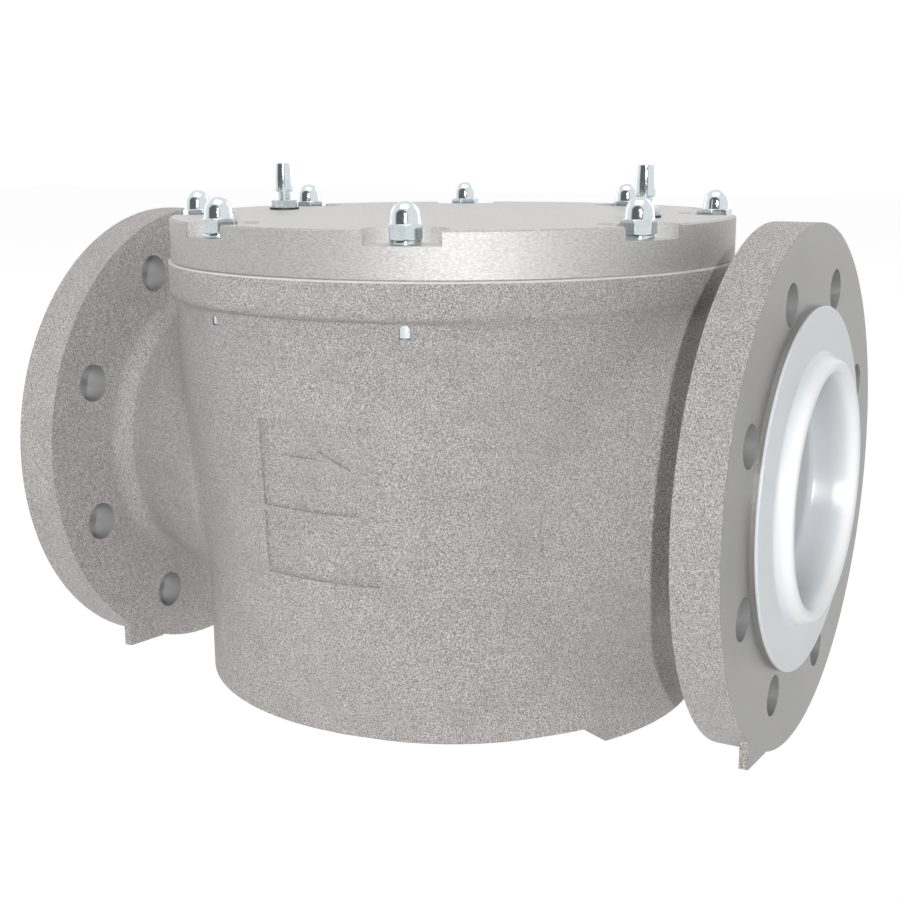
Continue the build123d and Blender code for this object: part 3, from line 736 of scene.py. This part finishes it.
def flange_root_skin(name, columns=720, steps=16):
    """Skin under the flange: an arc between the wall and the rounded lower edge, all round Z.

    The ball's centre is one radius out from the wall, and one radius plus the edge's rounding
    away from the centre of that rounding, or one radius below the flat underside. The wall leans
    out a little, so the height where the ball touches it is found in a few rounds. A row of
    points buried in the casting behind the corner closes the skin to a ring.
    """
    angles = np.linspace(0, 2 * math.pi, columns, endpoint=False)
    sideways = np.clip((np.abs(np.cos(angles)) - 0.35) / 0.5, 0, 1)
    ball = smallest_ball + (largest_ball - smallest_ball) * sideways ** 2 * (3 - 2 * sideways)
    corner_r = flange_rim - edge_rounding
    corner_z = flange_underside + edge_rounding
    reach = ball + edge_rounding
    touch_z = np.full(columns, flange_underside)
    for _ in range(4):
        wall = wall_distance(touch_z, angles)
        tilt = np.arctan(wall - wall_distance(touch_z - 1, angles))
        centre_r = wall + ball * np.cos(tilt)
        under_edge = np.maximum(centre_r - corner_r, 0)
        centre_z = corner_z - np.sqrt(reach ** 2 - np.minimum(under_edge, reach) ** 2)
        touch_z = centre_z + ball * np.sin(tilt)
    from_edge = np.arctan2(corner_z - centre_z, np.minimum(corner_r - centre_r, 0))
    start = np.where(under_edge > 0, from_edge, math.pi / 2)
    share = np.linspace(0, 1, steps)[:, None]
    turn = start + share * (math.pi - tilt - start)
    arc = ball + let_in(share)
    r = np.concatenate([centre_r + arc * np.cos(turn), wall[None, :] - buried_depth])
    buried_z = np.full((1, columns), flange_underside + buried_depth)
    z = np.concatenate([centre_z + arc * np.sin(turn), buried_z])
    points = np.stack([r * np.cos(angles), r * np.sin(angles), z], axis=-1) / 1000
    return surface_mesh(name, [points], True)


skins = [
    neck_skin("outlet_neck_skin", 1),
    neck_skin("inlet_neck_skin", -1),
    flange_root_skin("flange_root_skin"),
]
for skin_piece in skins:
    skin_piece.data.materials.append(cast)
    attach(skin_piece, "body")

# %% [markdown]
# ## Cap nuts and spring washers
# A cap nut is a turned form cut by a hexagon. At every angle its outline is the turned one, but
# no wider than the hexagon is at that angle, and the bevel meets each flat along the arc that a
# real nut shows. The dome is a slightly tapering drum under half an ellipse.

# %% Cap nuts
half_flats = 6.5
corner_reach = 7.38
hex_height = 6.3
bevel_share, bevel_slope = 0.97, math.tan(math.radians(30))
dome_foot, dome_shoulder = (6.2, 6.75), (5.85, 9.6)
nut_height = 15.0
nut_foot = 110.3
stud_reach = 122.4
stud_angles = (23.2, 70.2, 115.3, 157.3)
all_stud_angles = [side * angle for angle in stud_angles for side in (1, -1)]
# How the three nuts nearest the camera are turned, by their place round the lid, in degrees
turns_seen = {-23.2: 33, -70.2: 2, -115.3: 61}


def nut_rows(columns=144):
    """Radius and height of a cap nut on a grid of rows up the outline and columns round it."""
    angles = np.linspace(0, 2 * math.pi, columns, endpoint=False)
    sixth = math.pi / 3
    width = np.minimum(half_flats / np.cos((angles % sixth) - sixth / 2), corner_reach)
    bevel_start = bevel_share * half_flats
    lost = (width - bevel_start) * bevel_slope
    rows = [(0.0, 0.0), (bevel_start, 0.0), (width, lost), (width, hex_height - lost)]
    rows += [(bevel_start, hex_height), dome_foot, dome_shoulder]
    dome_rise = nut_height - dome_shoulder[1]
    for step in np.linspace(0, math.pi / 2, 13)[1:-1]:
        level = dome_shoulder[1] + dome_rise * math.sin(step)
        rows.append((dome_shoulder[0] * math.cos(step), level))
    rows.append((0.0, nut_height))
    radius = np.stack([np.broadcast_to(r, angles.shape) for r, _ in rows])
    height = np.stack([np.broadcast_to(z, angles.shape) for _, z in rows])
    return radius, height, angles


def crisp(piece):
    """Gives a piece the shared smoothing, so flats meet at crisp edges."""
    piece.modifiers.new("smooth", "NODES").node_group = smooth_shallow


radius, height, angles = nut_rows()
nut_grids = []
for number, direction in enumerate(all_stud_angles):
    place = math.radians(direction)
    turn = math.radians(turns_seen.get(direction, 28.5 + 17 * number))
    nut_grids.append(np.stack([
        stud_reach * math.cos(place) + radius * np.cos(angles + turn),
        stud_reach * math.sin(place) + radius * np.sin(angles + turn),
        nut_foot + height,
    ], axis=-1) / 1000)


nut_piece = surface_mesh("domed_cap_nuts", nut_grids, False)
crisp(nut_piece)
nut_piece.data.materials.append(zinc)
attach(nut_piece, "nuts")
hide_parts("cap_nuts")
print("nuts:", len(nut_grids))

# %% [markdown]
# A spring washer is a square bar bent into one turn that rises a little, with its ends cut off.
# The bar's section is carried along the turn, and shrinks to a point at both ends to close it.

# %% Spring washers
bar_inner, bar_outer, bar_thick = 4.5, 6.35, 1.8
corner_power = 0.35
gap_angle = 16
washer_rise = 0.15
washer_foot = 108.3


def washer_grid(place, gap_direction, turns=72):
    """Grid of a split washer: rounded square section, carried round most of a circle, rising."""
    half = ((bar_outer - bar_inner) / 2, bar_thick / 2)
    around = np.linspace(0, 2 * math.pi, 20, endpoint=False)
    section_r = half[0] * np.sign(np.cos(around)) * np.abs(np.cos(around)) ** corner_power
    section_z = half[1] * np.sign(np.sin(around)) * np.abs(np.sin(around)) ** corner_power
    along = np.concatenate([[0], np.linspace(0, 1, turns), [1]])[:, None]
    size = np.ones_like(along)
    size[[0, -1]] = 0
    angle = math.radians(gap_direction + gap_angle / 2) + along * math.radians(360 - gap_angle)
    r = (bar_inner + bar_outer) / 2 + size * section_r
    x = stud_reach * math.cos(math.radians(place)) + r * np.cos(angle)
    y = stud_reach * math.sin(math.radians(place)) + r * np.sin(angle)
    z = washer_foot + half[1] + washer_rise * along + size * section_z
    return np.stack([x, y, z], axis=-1) / 1000


washer_grids = [washer_grid(angle, angle + 180) for angle in all_stud_angles]
washer_piece = surface_mesh("split_washers", washer_grids, False)
crisp(washer_piece)
washer_piece.data.materials.append(zinc)
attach(washer_piece, "lid")
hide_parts("spring_washers")

# %% [markdown]
# ## Protective caps
# Each cap is one thin moulding with soft corners: a dished plug, a raised ring and a flat brim.
# Its section is drawn once as a line of corners from axis to axis, each corner is rounded, and
# the line is turned about the pipe.

# %% Turned pieces from a rounded section
def rounded_line(corners, radii, steps=6):
    """A line of (x, r) points from axis to axis, with every corner replaced by a short curve.

    A corner's curve starts and ends one radius away from it, and is the quadratic curve through
    start, corner and end.
    """
    corners = np.array(corners, dtype=float)
    before = np.roll(corners, 1, axis=0) - corners
    after = np.roll(corners, -1, axis=0) - corners
    near, far = np.linalg.norm(before, axis=1), np.linalg.norm(after, axis=1)
    reach = np.minimum(np.array(radii, dtype=float), 0.45 * np.minimum(near, far))[:, None]
    start = corners + before / near[:, None] * reach
    end = corners + after / far[:, None] * reach
    t = np.linspace(0, 1, steps)[None, :, None]
    curve = (1 - t) ** 2 * start[:, None] + 2 * t * (1 - t) * corners[:, None]
    curve = curve + t ** 2 * end[:, None]
    return curve.reshape(-1, 2)


def turned_about_pipe(name, line, columns=192):
    """The (x, r) line in millimetres carried round the pipe axis, closed by its ends on it."""
    angles = np.linspace(0, 2 * math.pi, columns, endpoint=False)
    x = np.repeat(line[:, :1], columns, axis=1)
    y = line[:, 1:] * np.cos(angles)
    z = line[:, 1:] * np.sin(angles)
    return surface_mesh(name, [np.stack([x, y, z], axis=-1) / 1000], False)


# The cap's section, as corners (x, r) in millimetres and the reach of each corner's curve
cap_corners = [
    (162.4, 0), (162.4, 46.1), (175.5, 48.9), (183.6, 52.2), (183.6, 56.2), (176.6, 59.3),
    (176.4, 79.25), (175.05, 79.25), (175.05, 57.6), (181.6, 54.6), (175.05, 49.9), (161.0, 47.4),
    (161.0, 0),
]
cap_radii = [0, 3.5, 3.0, 1.9, 1.6, 1.6, 0.5, 0.3, 0.8, 1.2, 1.0, 3.0, 0]
outlet_line = rounded_line(cap_corners, cap_radii)
inlet_line = outlet_line[::-1] * np.array([-1, 1])
for cap_name, cap_line in (("outlet", outlet_line), ("inlet", inlet_line)):
    cap_piece = turned_about_pipe(cap_name + "_protective_cap", cap_line)
    cap_piece.data.materials.append(milky)
    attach(cap_piece, cap_name + "_cap")
    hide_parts(cap_name + "_cap")
